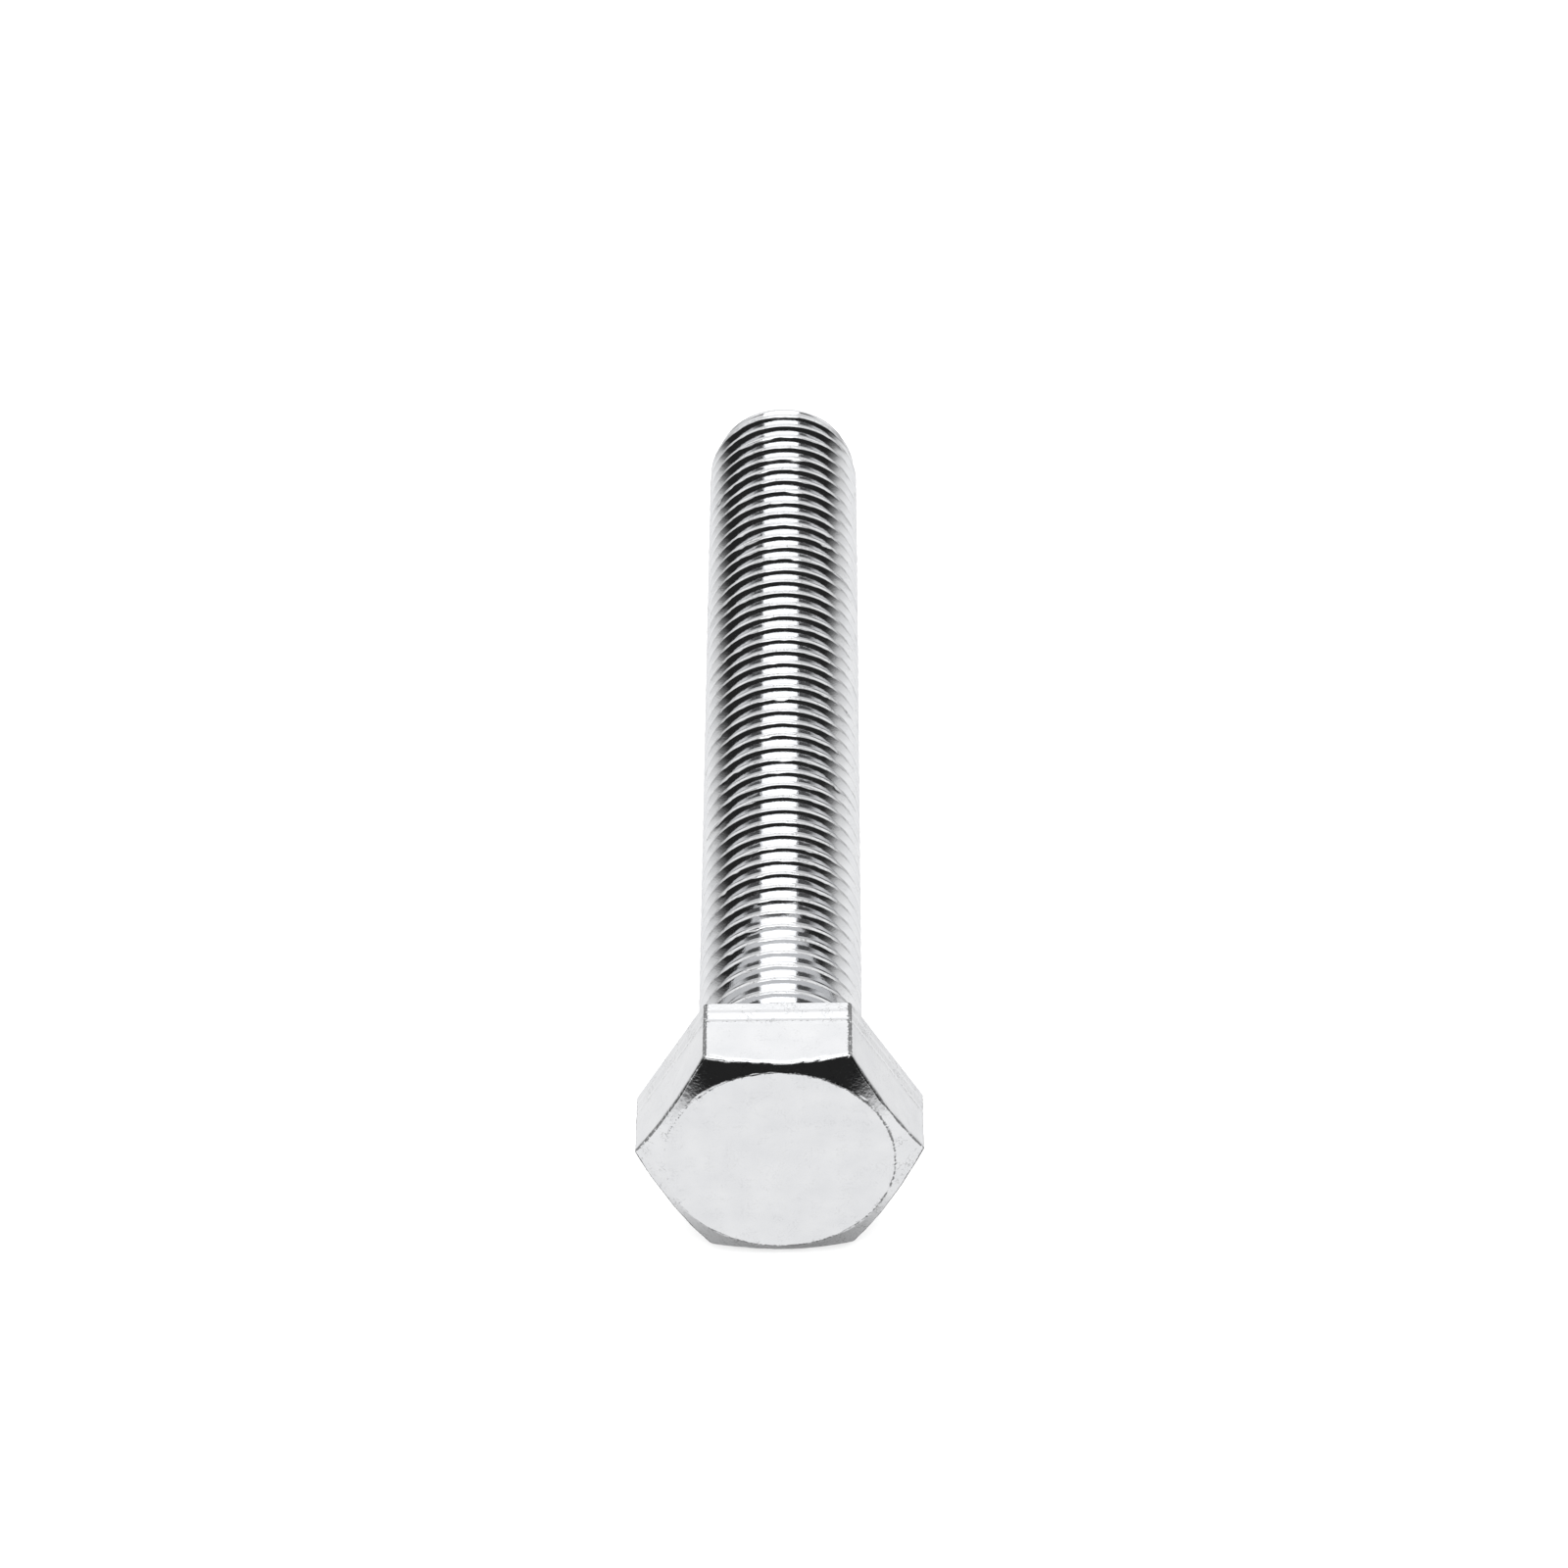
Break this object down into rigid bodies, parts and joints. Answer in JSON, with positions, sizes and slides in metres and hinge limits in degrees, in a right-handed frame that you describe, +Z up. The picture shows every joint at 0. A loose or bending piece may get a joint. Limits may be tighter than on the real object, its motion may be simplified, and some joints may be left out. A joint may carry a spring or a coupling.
{
  "type": "hex bolt",
  "caption": "Hexagon-head bolt with a chamfered blank head, a washer face and a coarse thread along its whole shank.",
  "frame": {"origin": "centre of the head's flat round top, on the bolt's axis", "axes": "+Y runs along the shank towards the tip, +Z is up with the head lying on one of its flats, +X points to a corner of the hexagon"},
  "size_m": [0.0346, 0.1418, 0.03],
  "materials": {
    "bright_zinc": "bright zinc plating on steel, fine-grained and lightly marked from handling in bulk"
  },
  "bodies": {
    "root": {"hex_bolt": "bright_zinc"}
  },
  "joints": []
}
